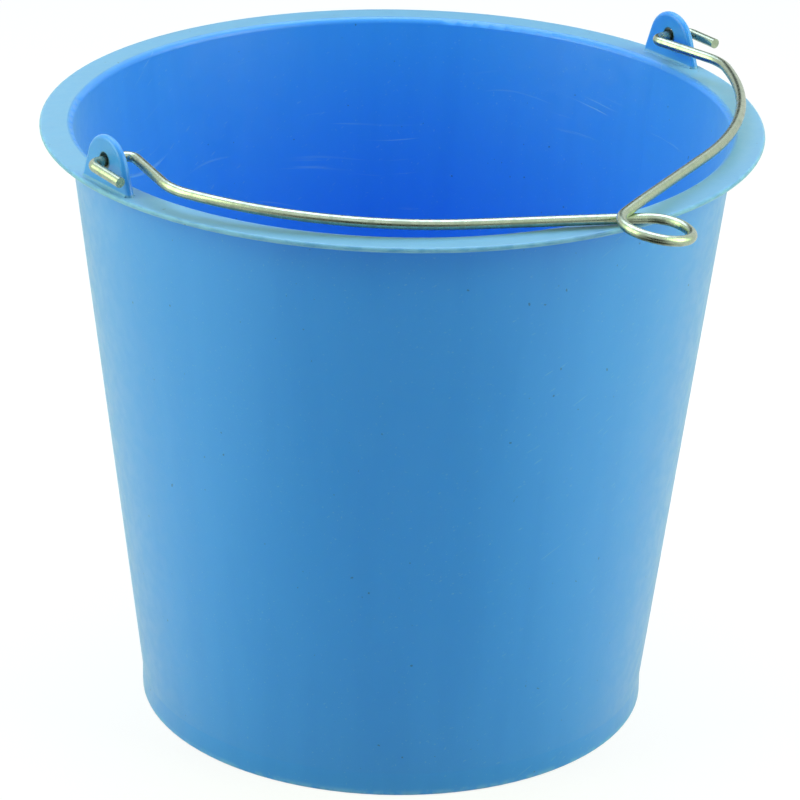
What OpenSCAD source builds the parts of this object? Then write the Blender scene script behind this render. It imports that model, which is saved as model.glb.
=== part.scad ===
// Feed bucket: one plastic moulding with two ears on its rim, and a wire bail hooked through them.
// Millimetres. The origin is the middle of the foot, on the floor. +Z is up, the ears lie on the
// X axis, and the bail lies on the rim towards -Y.

/* [Bucket] */
// Outside diameter of the rim
rim_d = 320; // [290:1:350]
// Height from the foot to the top of the rim
bucket_h = 276; // [220:1:330]
// Outside diameter at the foot
foot_d = 231.4; // [200:1:255]
// Thickness of the wall, square to its face
wall_t = 2.2; // [1.6:0.1:3.5]
// Thickness of the floor
floor_t = 2.6; // [1.8:0.1:5]
// Radius of the corner inside, between floor and wall
floor_corner_r = 9; // [3:0.5:16]

/* [Foot] */
// Height of the upright band round the foot
foot_h = 11; // [8:0.5:20]
// Width of the ring that stands on the ground
foot_ring_w = 3.4; // [3:0.1:6]
// How far the floor's underside stands above the ground
foot_recess = 4.5; // [2:0.5:7]
// Radius of the foot's outer lower edge
foot_edge_r = 1.2; // [0.5:0.1:2.5]
// Diameter of the gate mark under the floor
gate_d = 9; // [5:0.5:14]
// Height of the gate mark
gate_h = 1.2; // [0.5:0.1:1.8]

/* [Rim] */
// Width of the flange, from the wall's outside to the rim's edge
rim_w = 12.7; // [11:0.1:18]
// Thickness of the flange
rim_t = 2.4; // [1.8:0.1:3.5]
// Radius of the bend from the flange's top down into the mouth
mouth_r = 2.8; // [2:0.1:4.6]
// Radius of the corner under the flange
under_rim_r = 2.2; // [1:0.1:4]

/* [Ears] */
// Width of an ear where it stands on the rim
ear_w = 36.4; // [33:0.1:42]
// Height of an ear above the rim
ear_h = 22.4; // [20:0.1:28]
// Thickness of an ear, and the diameter of its rounded edge
ear_t = 3.8; // [3:0.1:4.4]
// Radius of the arch on top of an ear
ear_arch_r = 14.3; // [12:0.1:16]
// Distance from the rim's edge in to the middle of an ear's thickness
ear_inset = 5.5; // [5:0.1:6.5]
// Radius of the fillet between an ear and the rim
ear_fillet_r = 1.4; // [0.5:0.1:2]
// Diameter of the hole in an ear
hole_d = 6.4; // [5.6:0.1:8]

/* [Bail] */
// Diameter of the wire
wire_d = 4.5; // [4:0.1:5]
// Height of the wire's middle above the rim, where it passes through the ears
pivot_h = 11.5; // [10.5:0.1:13]
// Gap between the wire and the bottom of its hole
seat_gap = 0.3; // [0.2:0.05:0.6]
// Gap between the lower leg of the lying bail and the rim
rest_gap = 0.7; // [0.4:0.05:1]

/* [Bail hooks] */
// Gap between an arm and the inner face of its ear
arm_gap = 6.8; // [4:0.1:9]
// Gap between the hook's end and the outer face of its ear
stub_gap = 5; // [2:0.1:8]
// Bend radius of the hooks, to the wire's middle
hook_r = 4.6; // [3.5:0.1:5.5]
// Reach of the hook's end past the pivot, at the ear on -X
left_stub_l = 23.5; // [14:0.5:36]
// Reach of the hook's end past the pivot, at the ear on +X
right_stub_l = 20; // [14:0.5:36]

/* [Bail arms] */
// Angle by which the arms spread apart as they leave the ears
splay = 9.5; // [5:0.5:14]
// Length of the straight stretch beside the ear on -X
left_arm_l = 27; // [20:0.5:36]
// Length of the straight stretch beside the ear on +X
right_arm_l = 28.5; // [20:0.5:36]
// Bend radius of an arm's shoulder
shoulder_r = 25; // [15:1:40]
// Turn of an arm's shoulder
shoulder_turn = 34; // [26:1:42]
// Slope of the straight legs that meet at the hand loop
leg_slope = 24.3; // [20:0.1:29]

/* [Hand loop] */
// Radius of the loop, to the wire's middle
loop_r = 14.9; // [12:0.1:19]
// Distance from the rim's edge out to the middle of the loop
loop_out = 15.2; // [13:0.1:24]
// Distance between the middles of the two strands where they cross
crossing = 5.1; // [5.1:0.1:7]
// Angle by which the loop droops from the crossing
loop_droop = 2.5; // [0:0.5:12]
// Angle by which the loop rolls, its +X side down
loop_roll = 5; // [0:0.5:8]
// Distance from the crossing to the bend that lays each leg flat
lay_out = 9; // [6:0.5:14]
// Radius of the bend that lays each leg flat
lay_r = 150; // [100:5:250]

/* [Hidden] */

round_fn = 180;
wire_fn = 32;
// How far two pieces of one solid run into each other
lap = 0.2;
// A bend of the wire is thinner than its straight stretches by this much, so that the surfaces of
// the two never lie on each other where they lap
neck = 0.02;

rim_r = rim_d / 2;
foot_r = foot_d / 2;
wall_top_r = rim_r - rim_w;
floor_top = foot_recess + floor_t;

// The wall leans out by this angle from the foot band to the underside of the rim
lean = atan((wall_top_r - foot_r) / (bucket_h - rim_t - foot_h));
wall_level_t = wall_t / cos(lean);

// Radius of the wall's outer and inner face at height z
function outer_r(z) = foot_r + (z - foot_h) * tan(lean);
function inner_r(z) = outer_r(z) - wall_level_t;

ear_x = rim_r - ear_inset;
ear_edge_r = ear_t / 2;
ear_arch_z = ear_h - ear_arch_r;
// Angle by which an ear's straight sides lean in, from the foot of the ear to its arch
ear_side_tilt = atan2(ear_w / 2, ear_arch_z) - asin(ear_arch_r / norm([ear_w / 2, ear_arch_z]));
// Depth to which an ear is rooted in the rim
ear_root = 1;
pivot_z = bucket_h + pivot_h;
hole_z = pivot_z - wire_d / 2 - seat_gap + hole_d / 2;

// ---------- Bucket ----------

// Fills the corner between two straight edges with a fillet of radius r round its middle m.
// t1 and t2 are the points where the arc meets the edges.
module corner_fill(corner, t1, m, t2, r) {
    difference() {
        polygon([corner, t1, m, t2]);
        translate(m) circle(r, $fn = round_fn);
    }
}

module outer_profile() {
    corner_z = bucket_h - rim_t;
    bend_z = corner_z - under_rim_r;
    bend_x = outer_r(bend_z) + under_rim_r / cos(lean);
    polygon([
        [0, 0],
        [foot_r - foot_edge_r, 0],
        [foot_r, foot_edge_r],
        [foot_r, foot_h],
        [outer_r(corner_z), corner_z],
        [0, corner_z]
    ]);
    translate([foot_r - foot_edge_r, foot_edge_r]) circle(foot_edge_r, $fn = round_fn);
    translate([0, corner_z]) square([rim_r - rim_t / 2, rim_t]);
    translate([rim_r - rim_t / 2, bucket_h - rim_t / 2]) circle(rim_t / 2, $fn = round_fn);
    corner_fill(
        [outer_r(corner_z) - lap, corner_z + lap],
        [bend_x, corner_z],
        [bend_x, bend_z],
        [bend_x - under_rim_r * cos(lean), bend_z + under_rim_r * sin(lean)],
        under_rim_r
    );
}

module cavity_profile() {
    floor_bend_z = floor_top + floor_corner_r;
    floor_bend_x = inner_r(floor_bend_z) - floor_corner_r / cos(lean);
    mouth_bend_z = bucket_h - mouth_r;
    mouth_bend_x = inner_r(mouth_bend_z) + mouth_r / cos(lean);
    above = bucket_h + rim_t;
    difference() {
        polygon([
            [0, floor_top],
            [inner_r(floor_top), floor_top],
            [inner_r(above), above],
            [0, above]
        ]);
        corner_fill(
            [inner_r(floor_top) + lap, floor_top - lap],
            [floor_bend_x, floor_top],
            [floor_bend_x, floor_bend_z],
            [floor_bend_x + floor_corner_r * cos(lean), floor_bend_z - floor_corner_r * sin(lean)],
            floor_corner_r
        );
    }
    corner_fill(
        [inner_r(above) - lap, above],
        [mouth_bend_x, above],
        [mouth_bend_x, mouth_bend_z],
        [mouth_bend_x - mouth_r * cos(lean), mouth_bend_z + mouth_r * sin(lean)],
        mouth_r
    );
}

module shell() {
    rotate_extrude($fn = round_fn)
        difference() {
            outer_profile();
            cavity_profile();
            square([foot_r - foot_ring_w, foot_recess]);
        }
    translate([0, 0, foot_recess - gate_h])
        cylinder(h = gate_h + floor_t / 2, d = gate_d, $fn = round_fn);
}

// Half of an ear's section, from its middle out to the rounded edge
module ear_section() {
    translate([0, -ear_t / 2]) square([ear_arch_r - ear_edge_r, ear_t]);
    translate([ear_arch_r - ear_edge_r, 0]) circle(d = ear_t, $fn = round_fn);
}

// Half of an ear in its own plane: X across, Y up from the rim, Z through the thickness. The arch
// is part of a disc, and the straight side runs down from it in the same section.
module half_ear() {
    side_l = (ear_arch_z + ear_arch_r * sin(ear_side_tilt) + 2 * ear_root) / cos(ear_side_tilt);
    foot_x = ear_w / 2 - ear_edge_r;
    intersection() {
        union() {
            translate([0, ear_arch_z]) rotate([0, 0, ear_side_tilt]) {
                rotate_extrude($fn = round_fn) ear_section();
                rotate([90, 0, 0]) linear_extrude(height = side_l) ear_section();
            }
            linear_extrude(height = ear_t, center = true)
                polygon([[0, ear_arch_z], [0, -2 * ear_root], [foot_x, -2 * ear_root]]);
        }
        translate([0, -ear_root, -ear_t]) cube([ear_w, ear_h + 2 * ear_root, 2 * ear_t]);
    }
}

module ear() {
    translate([ear_x, 0, bucket_h]) {
        rotate([90, 0, 90]) {
            half_ear();
            mirror([1, 0, 0]) half_ear();
        }
        for (side = [0, 1]) mirror([side, 0, 0])
            translate([ear_t / 2, ear_w / 2 - ear_edge_r, 0])
                rotate([90, 0, 0])
                    linear_extrude(height = ear_w - 2 * ear_edge_r)
                        difference() {
                            translate([-lap, -lap]) square(ear_fillet_r + lap);
                            translate([ear_fillet_r, ear_fillet_r]) circle(ear_fillet_r, $fn = round_fn);
                        }
    }
}

module bucket() {
    color("#4189d0")
        difference() {
            union() {
                shell();
                ear();
                mirror([1, 0, 0]) ear();
            }
            translate([-rim_r, 0, hole_z])
                rotate([0, 90, 0])
                    cylinder(h = rim_d, d = hole_d, $fn = round_fn);
        }
}

// ---------- Bail ----------
// The wire is made as a bender makes it, one step after another. A step is [length] for a straight
// stretch, or [roll, radius, turn] for a bend: the wire rolls about itself, then turns towards its
// own +X. A straight stretch laps over the bends at its ends, and two bends that follow each other
// are joined by a straight of no length.

// How far a straight stretch laps over the bend beside it: at most a third of that bend's length
function lap_over(steps, i) =
    i < 0 || i == len(steps) ? lap : min(lap, steps[i][1] * steps[i][2] * PI / 180 / 3);

module wire(steps, i = 0) {
    if (i < len(steps)) {
        step = steps[i];
        if (len(step) == 1) {
            before = lap_over(steps, i - 1);
            after = lap_over(steps, i + 1);
            translate([0, 0, -before])
                cylinder(h = before + step[0] + after, d = wire_d, $fn = wire_fn);
            translate([0, 0, step[0]]) wire(steps, i + 1);
        } else {
            r = step[1];
            rotate([0, 0, step[0]]) translate([r, 0, 0]) {
                rotate([90, 0, 180])
                    rotate_extrude(angle = step[2], $fn = round_fn)
                        translate([r, 0]) circle(d = wire_d - neck, $fn = wire_fn);
                rotate([0, step[2], 0]) translate([-r, 0, 0]) wire(steps, i + 1);
            }
        }
    }
}

// The roll about a heading that brings one bend's axis round to the next one's
function roll(from, to, heading) = atan2(cross(from, to) * heading, from * to);

// Half of the bail lies flat with its loop towards -Y and its ear towards +X. The other half is
// such a half turned round the Y axis, so that the strands pass over each other at the crossing,
// and the loop's droop is then upwards as that half sees it.

// Hook, from the pivot inwards
arm_x = ear_x - ear_t / 2 - arm_gap - wire_d / 2;
stub_x = ear_x + ear_t / 2 + stub_gap + wire_d / 2;
pin_l = stub_x - arm_x - 2 * hook_r;

loop_y = -(rim_r + loop_out);
crossing_point = [0, loop_y + loop_r / cos(leg_slope), 0];
// Each quarter of the loop climbs by this angle, which brings the strands one crossing apart
climb = asin(crossing / (4 * loop_r));

// A vector of the level loop, as it points once the loop has rolled and drooped
function tilted(v, droop) =
    let (
        across = v[0] * cos(loop_roll) + v[2] * sin(loop_roll),
        up = v[2] * cos(loop_roll) - v[0] * sin(loop_roll)
    )
    [across, v[1] * cos(droop) - up * sin(droop), v[1] * sin(droop) + up * cos(droop)];

// Direction of the strand that leaves the loop, and the point where it does
function loop_dir(droop) =
    tilted([cos(leg_slope) * cos(climb), sin(leg_slope), cos(leg_slope) * sin(climb)], droop);
function loop_end(droop) = crossing_point + tilted([
    -loop_r * sin(leg_slope) * cos(climb),
    loop_y + loop_r * cos(leg_slope) - crossing_point[1],
    loop_r * (2 - sin(leg_slope)) * sin(climb)
], droop);

// Length of that strand, and the point where it ends and the leg begins
function lay_l(droop) = (lay_out - loop_end(droop)[0]) / loop_dir(droop)[0];
function lay_point(droop) = loop_end(droop) + lay_l(droop) * loop_dir(droop);

// Arm and leg lie in one plane through the pivot, which leans by tip from the bail's own plane.
// In it, a point is [x, distance from the pivot].
function tip(droop) = atan2(lay_point(droop)[2], -lay_point(droop)[1]);
function leg_reach(droop) = norm([lay_point(droop)[1], lay_point(droop)[2]]);

function ray(angle) = [sin(angle), cos(angle)];
function left_of(angle) = [-cos(angle), sin(angle)];
function cross_2d(a, b) = a[0] * b[1] - a[1] * b[0];

arm_start = [arm_x + hook_r, hook_r] + hook_r * left_of(splay);
shoulder_angle = splay - shoulder_turn;
leg_ray = ray(leg_slope - 90);
long_turn = shoulder_angle + 90 - leg_slope;

// The bends from the outermost point of the loop to the end of the hook. The shoulder's line and
// the leg's line run to a corner, which the long bend rounds off.
function half_bail(droop, arm_l, stub_l) =
    let (
        arm_axis = [0, sin(tip(droop)), cos(tip(droop))],
        leg_dir = [cos(leg_slope), sin(leg_slope) * cos(tip(droop)), -sin(leg_slope) * sin(tip(droop))],
        lay_turn = acos(loop_dir(droop) * leg_dir),
        lay_axis = cross(loop_dir(droop), leg_dir) / sin(lay_turn),
        lay_tangent_l = lay_r * tan(lay_turn / 2),
        leg_start = [lay_out, leg_reach(droop)],
        shoulder_end =
            arm_start + arm_l * ray(splay) + shoulder_r * (left_of(splay) - left_of(shoulder_angle)),
        shoulder_to_corner =
            cross_2d(leg_start - shoulder_end, leg_ray) / cross_2d(ray(shoulder_angle), leg_ray),
        leg_to_corner = norm(shoulder_end + shoulder_to_corner * ray(shoulder_angle) - leg_start)
    )
    [
        [0, loop_r, 90],
        [0],
        [-2 * climb, loop_r, 90 - leg_slope],
        [lay_l(droop) - lay_tangent_l],
        [roll(tilted([sin(climb), 0, -cos(climb)], droop), lay_axis, loop_dir(droop)), lay_r, lay_turn],
        [leg_to_corner - shoulder_to_corner - lay_tangent_l],
        [roll(lay_axis, arm_axis, leg_dir), shoulder_to_corner / tan(long_turn / 2), long_turn],
        [0],
        [0, shoulder_r, shoulder_turn],
        [arm_l],
        [180, hook_r, 90 + splay],
        [pin_l],
        [0, hook_r, 90],
        [stub_l - hook_r - lap]
    ];

// Stands at the outermost point of the loop, with the first half's heading along +Z
module at_loop_top(droop) {
    translate(crossing_point) rotate([droop, 0, 0]) rotate([0, loop_roll, 0])
        translate([0, loop_y - loop_r - crossing_point[1], 0])
            rotate([0, climb, 0]) rotate([-90, 0, 0]) rotate([0, -90, 0])
                children();
}

// The bail lies down until its lower leg, the one on -X, is rest_gap above the rim
rest_angle = asin((pivot_h - wire_d / 2 - rest_gap) / leg_reach(-loop_droop)) - tip(-loop_droop);

module bail() {
    color("#a9b4ad")
        translate([0, 0, pivot_z])
            rotate([rest_angle, 0, 0]) {
                at_loop_top(loop_droop) wire([[0]]);
                at_loop_top(loop_droop) wire(half_bail(loop_droop, right_arm_l, right_stub_l));
                rotate([0, 180, 0])
                    at_loop_top(-loop_droop) wire(half_bail(-loop_droop, left_arm_l, left_stub_l));
            }
}

bucket();
bail();
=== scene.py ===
"""A blue feed bucket with a wire bail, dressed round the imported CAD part.

Metres, +Z up, in the CAD part's own frame. Both CAD shapes stay as they are and get their
finish here.
"""

import math

import bpy
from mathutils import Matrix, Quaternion, Vector

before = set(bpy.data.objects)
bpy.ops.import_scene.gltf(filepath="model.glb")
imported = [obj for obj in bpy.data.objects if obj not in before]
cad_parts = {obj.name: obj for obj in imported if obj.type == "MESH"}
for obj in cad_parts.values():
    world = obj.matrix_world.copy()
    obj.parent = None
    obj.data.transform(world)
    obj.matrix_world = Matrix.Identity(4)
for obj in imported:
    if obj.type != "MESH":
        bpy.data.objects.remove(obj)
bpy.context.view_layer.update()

# ---------------------------------------------------------------- Camera
# A long lens a little above the rim. The near ear is at the left and the hand loop at the right.
# The view leans by about a degree, as one held by hand does.
LENS_MM, SENSOR_MM = 189, 36
AZIMUTH, ELEVATION, LEAN = math.radians(-37.05), math.radians(22.98), math.radians(1.21)
DISTANCE = 1.9085
AIM = Vector((0.0012, -0.0009, 0.1412))
CLIP_END = 50


def towards(azimuth, elevation):
    """The direction from the bucket to a stand-point round it; azimuth 0 is in front, at -Y."""
    level = math.cos(elevation)
    return Vector((math.sin(azimuth) * level, -math.cos(azimuth) * level, math.sin(elevation)))


def add_object(name, data):
    obj = bpy.data.objects.new(name, data)
    bpy.context.scene.collection.objects.link(obj)
    return obj


def look(obj, place, at):
    """Stands obj at a place with its -Z towards a point."""
    obj.location = place
    obj.rotation_mode = "QUATERNION"
    obj.rotation_quaternion = (at - place).to_track_quat("-Z", "Y")


camera = add_object("camera", bpy.data.cameras.new("camera"))
camera.data.lens = LENS_MM
camera.data.sensor_width = SENSOR_MM
camera.data.clip_end = CLIP_END
look(camera, AIM + DISTANCE * towards(AZIMUTH, ELEVATION), AIM)
camera.rotation_quaternion = camera.rotation_quaternion @ Quaternion((0, 0, 1), LEAN)
bpy.context.scene.camera = camera
bpy.context.scene.view_settings.view_transform = "Standard"

# ---------------------------------------------------------------- Floor, lamps and world
# A white paper floor between two large soft boxes, whose tubes give a greenish white. One overhead
# and behind lights the inside and the rim's top, and a weak one in front the wall, both bluish.
FLOOR_SIZE = 12
PAPER = "#dededc"
BACKGROUND = "#ffffff"
BACKGROUND_LIFT, SHADOW_SHARE = 0.83, 0.20
TUBE_WHITE = "#f0ffbe"
ROOM_WHITE = "#d8e2ff"
ROOM_LEVEL = 0.19


def rgb(hex_colour):
    """An sRGB hex colour as linear RGBA."""
    parts = [int(hex_colour[i : i + 2], 16) / 255 for i in (1, 3, 5)]
    linear = [c / 12.92 if c <= 0.04045 else ((c + 0.055) / 1.055) ** 2.4 for c in parts]
    return (*linear, 1)


def add_node(tree, kind, settings=None, **inputs):
    """Adds one node, sets its properties and fills its inputs.

    An input goes by its name, with _ for each space, or by its number, as in _0. It gets a value,
    a socket, or a node, which stands for that node's first output.
    """
    node = tree.nodes.new(kind)
    for name, value in (settings or {}).items():
        setattr(node, name, value)
    for name, value in inputs.items():
        number = name[1:]
        socket = node.inputs[int(number) if number.isdigit() else name.replace("_", " ")]
        if isinstance(value, bpy.types.Node):
            value = value.outputs[0]
        if isinstance(value, bpy.types.NodeSocket):
            tree.links.new(value, socket)
        else:
            socket.default_value = value
    return node


def emptied_tree(block):
    """The node tree of a material or world, without the nodes that it comes with."""
    block.use_nodes = True
    block.node_tree.nodes.clear()
    return block.node_tree


def shown_directly(tree):
    """1 for a ray from the camera, a reflection or a refraction, and 0 for one carrying light."""
    path = add_node(tree, "ShaderNodeLightPath").outputs
    seen = path["Is Camera Ray"]
    for ray in ("Is Glossy Ray", "Is Transmission Ray"):
        seen = add_node(tree, "ShaderNodeMath", {"operation": "MAXIMUM"}, _0=seen, _1=path[ray])
    return seen


# Matt paper: it scatters evenly. Where it is seen it is lifted to white, and keeps a soft shadow.
paper = bpy.data.materials.new("white_paper")
tree = emptied_tree(paper)
plain = add_node(tree, "ShaderNodeBsdfDiffuse", Color=rgb(PAPER))
lift = add_node(tree, "ShaderNodeEmission", Color=rgb(BACKGROUND), Strength=BACKGROUND_LIFT)
shadow = add_node(tree, "ShaderNodeBsdfDiffuse", Color=(SHADOW_SHARE,) * 3 + (1,))
lifted = add_node(tree, "ShaderNodeAddShader", _0=lift, _1=shadow)
shown = add_node(tree, "ShaderNodeMixShader", _0=shown_directly(tree), _1=plain, _2=lifted)
add_node(tree, "ShaderNodeOutputMaterial", Surface=shown)


def card(name, width, height, material):
    """A flat card round its own middle, with a UV map that goes from 0 to 1 across it."""
    x, y = width / 2, height / 2
    mesh = bpy.data.meshes.new(name)
    mesh.from_pydata([(-x, -y, 0), (x, -y, 0), (x, y, 0), (-x, y, 0)], [], [(0, 1, 2, 3)])
    mesh.uv_layers.new().data.foreach_set("uv", (0, 0, 1, 0, 1, 1, 0, 1))
    mesh.materials.append(material)
    obj = add_object(name, mesh)
    return obj


card("floor", FLOOR_SIZE, FLOOR_SIZE, paper)

# A plain room: it gives a little light from all round, and is white where it is seen.
world = bpy.data.worlds.new("studio")
bpy.context.scene.world = world
tree = emptied_tree(world)
dim = add_node(tree, "ShaderNodeBackground", Color=rgb(ROOM_WHITE), Strength=ROOM_LEVEL)
white = add_node(tree, "ShaderNodeBackground", Color=rgb(BACKGROUND), Strength=1)
shown = add_node(tree, "ShaderNodeMixShader", _0=shown_directly(tree), _1=dim, _2=white)
add_node(tree, "ShaderNodeOutputWorld", Surface=shown)

# Lamps: azimuth from the camera's and elevation in degrees, distance, width and height in metres,
# watts and colour
BUCKET_MIDDLE = Vector((0, 0, 0.15))
SOFT_BOXES = {
    "overhead": (180, 72, 1.5, 1.6, 1.2, 24, ROOM_WHITE),
    "left": (-75, 27, 1.4, 1.2, 1.1, 16.5, TUBE_WHITE),
    "right": (75, 27, 1.4, 1.2, 1.1, 16.5, TUBE_WHITE),
    "front": (-10, 50, 1.9, 0.8, 0.6, 1.0, ROOM_WHITE),
}
for name, (azimuth, elevation, distance, width, height, watts, colour) in SOFT_BOXES.items():
    lamp = add_object(f"{name}_soft_box", bpy.data.lights.new(name, "AREA"))
    lamp.data.shape = "RECTANGLE"
    lamp.data.size, lamp.data.size_y = width, height
    lamp.data.energy = watts
    lamp.data.color = rgb(colour)[:3]
    stand = distance * towards(AZIMUTH + math.radians(azimuth), math.radians(elevation))
    look(lamp, BUCKET_MIDDLE + stand, BUCKET_MIDDLE)

# Black felt: it gives back almost nothing. It thins out towards the card's rim, so that no hard
# edge shows in the plastic or the wire.
FELT_BLACK = "#101010"
FELT_WHOLE, FELT_GONE = 0.18, 0.5
SMOOTH = {"interpolation_type": "SMOOTHSTEP"}
felt = bpy.data.materials.new("black_felt")
tree = emptied_tree(felt)
on_card = add_node(tree, "ShaderNodeTexCoord").outputs["UV"]
from_middle = add_node(
    tree, "ShaderNodeVectorMath", {"operation": "DISTANCE"}, _0=on_card, _1=(0.5, 0.5, 0)
).outputs["Value"]
thinness = add_node(
    tree, "ShaderNodeMapRange", SMOOTH, Value=from_middle, From_Min=FELT_WHOLE, From_Max=FELT_GONE
)
cloth = add_node(tree, "ShaderNodeBsdfDiffuse", Color=rgb(FELT_BLACK))
gap = add_node(tree, "ShaderNodeBsdfTransparent")
thinned = add_node(tree, "ShaderNodeMixShader", _0=thinness, _1=cloth, _2=gap)
add_node(tree, "ShaderNodeOutputMaterial", Surface=thinned)

# Dark cards that only reflections see: azimuth from the camera's, distance, height of the middle,
# width, height, and the point each one faces. The table card lies face up in front of the foot.
BAIL_MIDDLE = Vector((0, 0, 0.29))
DARK_CARDS = {
    "front_card": (0, 1.0, 0.30, 2.0, 0.95, BAIL_MIDDLE),
    "table_card": (0, 0.45, 0.003, 0.95, 0.95, None),
    "back_card": (180, 1.0, 0.72, 0.70, 1.10, BAIL_MIDDLE),
}
for name, (azimuth, distance, middle, width, height, faces) in DARK_CARDS.items():
    dark_card = card(name, width, height, felt)
    stand = distance * towards(AZIMUTH + math.radians(azimuth), 0) + Vector((0, 0, middle))
    look(dark_card, stand, faces or stand + Vector((0, 0, 1)))
    dark_card.visible_camera = dark_card.visible_diffuse = dark_card.visible_shadow = False

# ---------------------------------------------------------------- Bucket
# One injection moulding with its rim and both ears. High-density polyethylene, coloured in the
# mass and a little translucent, cast against a polished steel mould.
BUCKET_BLUE = "#2c91f3"
FLOW_BLUE = "#268cef"
SCUFFED_BLUE = "#8cc2ea"
# A paler grey-green for the flange's top: painted light where it faces the lamps, and rubbing wear
LIT_AND_RUBBED_TINT = "#80aa90"
# A near-black teal painted round the edges of the holes
HOLE_EDGE_DARK = "#10303c"
# A dark blue for specks of grime and for the shade painted into crevices
GRIME_AND_SHADE = "#1f4a78"
BLOOM = "#e8ff9c"
PIVOT_HEIGHT, HOLE_R = 0.2875, 0.0032
RIM_R, FLANGE_R, EAR_R = 0.160, 0.147, 0.142
FLANGE_UNDER, EAR_START = 0.2735, 0.277
FOOT_R, FOOT_TOP = 0.1157, 0.011
WALL_SLOPE, HALF_WALL = 0.119, 0.0011
FLOOR_CORNER = 0.014
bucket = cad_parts["bucket"]

# Smooth from the mould and softly bright, with a bloom of fine wear that pales it at low angles.
# The dye lies in faint upright flow lines, and use has left rubbed edges, scratches and specks.
polyethylene = bpy.data.materials.new("moulded_polyethylene")
tree = emptied_tree(polyethylene)
place = add_node(tree, "ShaderNodeTexCoord").outputs["Object"]
parts = add_node(tree, "ShaderNodeSeparateXYZ", Vector=place).outputs
upright = parts["Z"]
level = add_node(tree, "ShaderNodeVectorMath", {"operation": "MULTIPLY"}, _0=place, _1=(1, 1, 0))
reach = add_node(tree, "ShaderNodeVectorMath", {"operation": "LENGTH"}, _0=level).outputs["Value"]


def pattern(tree, place, features, detail, turn=(0, 0, 0)):
    """Noise with so many features per metre in each direction, along axes that may be turned."""
    turned = add_node(
        tree, "ShaderNodeMapping", {"vector_type": "POINT"}, Vector=place, Rotation=turn
    )
    scaled = add_node(
        tree, "ShaderNodeVectorMath", {"operation": "MULTIPLY"}, _0=turned, _1=features
    )
    return add_node(tree, "ShaderNodeTexNoise", Vector=scaled, Scale=1.0, Detail=detail)


# How far a point is outside the middle of the wall's thickness
middle_r = add_node(
    tree,
    "ShaderNodeMath",
    {"operation": "MULTIPLY_ADD"},
    _0=upright,
    _1=WALL_SLOPE,
    _2=FOOT_R - HALF_WALL - FOOT_TOP * WALL_SLOPE,
)
out_of_wall = add_node(tree, "ShaderNodeMath", {"operation": "SUBTRACT"}, _0=reach, _1=middle_r)

# Flow lines about 14 mm apart run up the wall from the gate, and cloudy dye is 70 mm across
flow = pattern(tree, place, (70, 70, 2.5), 3.0)
cloud = pattern(tree, place, (14, 14, 8), 2.0)

# Level arcs that a scoop leaves inside, about 75 mm long, in patches of 45 to 70 mm. The real lines
# are finer: these are up to 2 mm apart, as coarse as they need to be to show.
SWAY = 0.06
sway = pattern(tree, place, (9, 9, 9), 1.0)
swayed = add_node(
    tree,
    "ShaderNodeVectorMath",
    {"operation": "MULTIPLY_ADD"},
    _0=sway,
    _1=(0, 0, SWAY),
    _2=place,
)
arcs = pattern(tree, swayed, (13, 13, 480), 2.0)
patches = pattern(tree, place, (14, 14, 22), 1.0)

# Round scuffs on the floor inside, 2 mm apart, where the scoop and the feed are turned about
round_place = add_node(tree, "ShaderNodeCombineXYZ", X=reach, Y=parts["X"], Z=parts["Y"])
rounds = pattern(tree, round_place, (480, 14, 14), 2.0)

# Handling scratches, a third of a millimetre wide and 40 long, in two directions
scratch_a = pattern(tree, place, (26, 1100, 900), 1.0, (0.5, 0.4, 0.3))
scratch_b = pattern(tree, place, (1000, 22, 1000), 1.0, (-0.7, 0.2, 0.9))

# A 6 mm mottle that breaks up the wear, and specks of dirt under a millimetre across
mottle = pattern(tree, place, (170, 170, 170), 3.0)
specks = pattern(tree, place, (480, 480, 480), 0.0)

# How far a point is from the axis through both holes, whose edges are painted dark
across = add_node(
    tree,
    "ShaderNodeVectorMath",
    {"operation": "MULTIPLY_ADD"},
    _0=place,
    _1=(0, 1, 1),
    _2=(0, 0, -PIVOT_HEIGHT),
)
from_axis = add_node(
    tree, "ShaderNodeVectorMath", {"operation": "LENGTH"}, _0=across
).outputs["Value"]

# How open a point is within 10 mm: shade is painted, with some grime, under the flange, at the ears
# and at the foot
OPENNESS = {"samples": 4, "only_local": True}
openness = add_node(tree, "ShaderNodeAmbientOcclusion", OPENNESS, Distance=0.010).outputs["AO"]

# What each mask is read from, the values at which it starts and ends, and what it gives at them
CUTS = {
    "flow": (flow, 0.40, 0.66, 0, 1),
    "cloud": (cloud, 0.38, 0.64, 0, 1),
    "inside": (out_of_wall, 0.0003, -0.0003, 0, 1),
    "arcs": (arcs, 0.66, 0.73, 0, 1),
    "patches": (patches, 0.50, 0.66, 0, 1),
    "rounds": (rounds, 0.60, 0.70, 0, 1),
    "on_floor": (upright, FLOOR_CORNER + 0.002, FLOOR_CORNER - 0.002, 0, 1),
    "scratch_a": (scratch_a, 0.735, 0.77, 0, 1),
    "scratch_b": (scratch_b, 0.735, 0.77, 0, 1),
    "rim_rub": (reach, RIM_R - 0.0016, RIM_R - 0.0002, 0, 1),
    "foot_rub": (upright, 0.0035, 0.0006, 0, 1),
    "rub_mottle": (mottle, 0.38, 0.62, 0, 1),
    "beyond_mouth": (reach, FLANGE_R - 0.0015, FLANGE_R + 0.0015, 0, 1),
    "above_wall": (upright, FLANGE_UNDER - 0.001, FLANGE_UNDER + 0.001, 0, 1),
    "below_ears": (upright, EAR_START + 0.0005, EAR_START - 0.0005, 0, 1),
    "round_hole": (from_axis, HOLE_R + 0.0012, HOLE_R + 0.0001, 0, 1),
    "at_ears": (reach, EAR_R - 0.002, EAR_R + 0.002, 0, 1),
    # Painted shade where little is open round a point
    "crevice_shade": (openness, 0.75, 0.25, 0, 1),
    "shade_and_grime_mottle": (mottle, 0.25, 0.65, 0.5, 1),
    "specks": (specks, 0.135, 0.11, 0, 1),
    "satin": (mottle, 0.3, 0.7, 0.32, 0.42),
}
masks = {}
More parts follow.
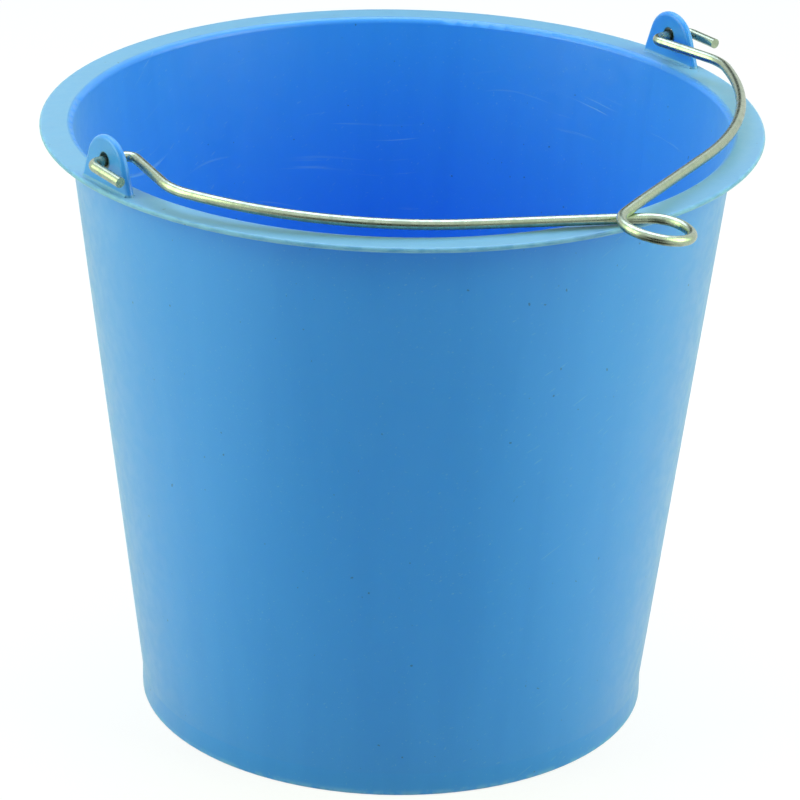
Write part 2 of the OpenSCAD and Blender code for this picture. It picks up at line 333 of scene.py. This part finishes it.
for name, (value, start, end, low, high) in CUTS.items():
    limits = {"From_Min": start, "From_Max": end, "To_Min": low, "To_Max": high}
    masks[name] = add_node(tree, "ShaderNodeMapRange", SMOOTH, Value=value, **limits)

# Masks made of others: MULTIPLY is where all of them are, and MAXIMUM where any of them is
JOINS = {
    "scoop_arcs": ("MULTIPLY", "arcs", "patches", "inside"),
    "floor_scuffs": ("MULTIPLY", "rounds", "patches", "inside", "on_floor"),
    "scratches": ("MAXIMUM", "scratch_a", "scratch_b"),
    "rubbed": ("MAXIMUM", "rim_rub", "foot_rub"),
    "edges": ("MULTIPLY", "rubbed", "rub_mottle"),
    # The flange's top, where light is painted on along with its wear
    "flange": ("MULTIPLY", "beyond_mouth", "above_wall", "below_ears"),
    "dark_hole_edge": ("MULTIPLY", "round_hole", "at_ears"),
    "shade_and_grime": ("MULTIPLY", "crevice_shade", "shade_and_grime_mottle"),
    "worn": ("MAXIMUM", "scoop_arcs", "floor_scuffs", "scratches", "edges"),
}
for name, (operation, first, *others) in JOINS.items():
    joined = masks[first]
    for other in others:
        joined = add_node(
            tree, "ShaderNodeMath", {"operation": operation}, _0=joined, _1=masks[other]
        )
    masks[name] = joined

# The colours laid over the dye, from the lowest to the topmost, with how strong each one gets
LAYERS = {
    "flow": (0.5, FLOW_BLUE),
    "cloud": (0.3, BUCKET_BLUE),
    # Painted light on the flange's top, with its wear: a paler grey-green tint
    "flange": (0.40, LIT_AND_RUBBED_TINT),
    "scoop_arcs": (0.6, SCUFFED_BLUE),
    "scratches": (0.25, SCUFFED_BLUE),
    "edges": (0.45, SCUFFED_BLUE),
    "floor_scuffs": (0.35, SCUFFED_BLUE),
    # Painted shade, with some grime, in the crevices
    "shade_and_grime": (0.35, GRIME_AND_SHADE),
    "specks": (0.6, GRIME_AND_SHADE),
    # The edges of the holes, painted near black
    "dark_hole_edge": (1.0, HOLE_EDGE_DARK),
}
colour = rgb(BUCKET_BLUE)
for name, (strength, tint) in LAYERS.items():
    share = add_node(
        tree, "ShaderNodeMath", {"operation": "MULTIPLY"}, _0=masks[name], _1=strength
    )
    colour = add_node(
        tree, "ShaderNodeMix", {"data_type": "RGBA"}, _0=share, _6=colour, _7=rgb(tint)
    ).outputs[2]

WEAR_ROUGHNESS = 0.2
roughness = add_node(
    tree,
    "ShaderNodeMath",
    {"operation": "MULTIPLY_ADD"},
    _0=masks["worn"],
    _1=WEAR_ROUGHNESS,
    _2=masks["satin"],
)

# Shrinkage waves 60 mm long, the mould's 1.5 mm orange peel, and the scratches, by their depths
WAVE_DEPTH, PEEL_DEPTH, SCRATCH_DEPTH = 0.0005, 0.00002, 0.00004
waves = pattern(tree, place, (16, 16, 9), 1.0)
peel = pattern(tree, place, (650, 650, 650), 2.0)
wavy = add_node(tree, "ShaderNodeBump", Strength=1.0, Distance=WAVE_DEPTH, Height=waves)
peeled = add_node(
    tree, "ShaderNodeBump", Strength=1.0, Distance=PEEL_DEPTH, Height=peel, Normal=wavy
)
scratched = add_node(
    tree,
    "ShaderNodeBump",
    {"invert": True},
    Strength=0.6,
    Distance=SCRATCH_DEPTH,
    Height=masks["worn"],
    Normal=peeled,
)

plastic = add_node(
    tree,
    "ShaderNodeBsdfPrincipled",
    Base_Color=colour,
    Roughness=roughness,
    IOR=1.5,
    Normal=scratched,
    Subsurface_Weight=0.15,
    Subsurface_Radius=(0.35, 0.7, 1.0),
    Subsurface_Scale=0.003,
    Sheen_Weight=0.34,
    Sheen_Roughness=0.5,
    Sheen_Tint=rgb(BLOOM),
)
add_node(tree, "ShaderNodeOutputMaterial", Surface=plastic)
bucket.data.materials.clear()
bucket.data.materials.append(polyethylene)

# ---------------------------------------------------------------- Bail
# One drawn steel wire, zinc plated, bent cold. Each end is hooked through an ear, and its middle
# is turned once round into a hand loop.
ZINC = "#a3b29b"
DULL_ZINC = "#708072"
LEG_SLOPE = math.radians(24.3)
SHOULDER_X, SHOULDER_BEND = 0.130, 0.012
DULL_SHARE = 0.45
BRIGHT_ROUGHNESS, DULL_EXTRA = 0.26, 0.10
LINE_DEPTH, PIT_DEPTH = 0.00002, 0.00001
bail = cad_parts["bail"]

# Bright plated metal with a grey-green cast. White rust and hands have dulled it in 3 mm patches.
# Drawing has left lines along it, too fine to show at their real size, so they are 0.4 mm apart.
zinc_plate = bpy.data.materials.new("zinc_plated_wire")
tree = emptied_tree(zinc_plate)
place = add_node(tree, "ShaderNodeTexCoord").outputs["Object"]
parts = add_node(tree, "ShaderNodeSeparateXYZ", Vector=place).outputs
side = add_node(tree, "ShaderNodeMath", {"operation": "ABSOLUTE"}, _0=parts["X"])
one_side = add_node(tree, "ShaderNodeCombineXYZ", X=side, Y=parts["Y"], Z=parts["Z"])
leg_lines = pattern(tree, one_side, (40, 2400, 2400), 1.0, (0, 0, -LEG_SLOPE))
arm_lines = pattern(tree, one_side, (2400, 40, 2400), 1.0)
on_arm = add_node(
    tree,
    "ShaderNodeMapRange",
    SMOOTH,
    Value=side,
    From_Min=SHOULDER_X,
    From_Max=SHOULDER_X + SHOULDER_BEND,
)
lines = add_node(
    tree, "ShaderNodeMix", {"data_type": "FLOAT"}, _0=on_arm, _2=leg_lines, _3=arm_lines
)
rust = pattern(tree, place, (320, 320, 320), 3.0)
dull = add_node(tree, "ShaderNodeMapRange", SMOOTH, Value=rust, From_Min=0.42, From_Max=0.70)
share = add_node(tree, "ShaderNodeMath", {"operation": "MULTIPLY"}, _0=dull, _1=DULL_SHARE)
metal = add_node(
    tree, "ShaderNodeMix", {"data_type": "RGBA"}, _0=share, _6=rgb(ZINC), _7=rgb(DULL_ZINC)
).outputs[2]
roughness = add_node(
    tree,
    "ShaderNodeMath",
    {"operation": "MULTIPLY_ADD"},
    _0=dull,
    _1=DULL_EXTRA,
    _2=BRIGHT_ROUGHNESS,
)
drawn = add_node(tree, "ShaderNodeBump", Strength=0.6, Distance=LINE_DEPTH, Height=lines)
pitted = add_node(
    tree, "ShaderNodeBump", Strength=0.4, Distance=PIT_DEPTH, Height=dull, Normal=drawn
)
zinc = add_node(
    tree,
    "ShaderNodeBsdfPrincipled",
    Base_Color=metal,
    Metallic=1.0,
    Roughness=roughness,
    Normal=pitted,
)
add_node(tree, "ShaderNodeOutputMaterial", Surface=zinc)
bail.data.materials.clear()
bail.data.materials.append(zinc_plate)
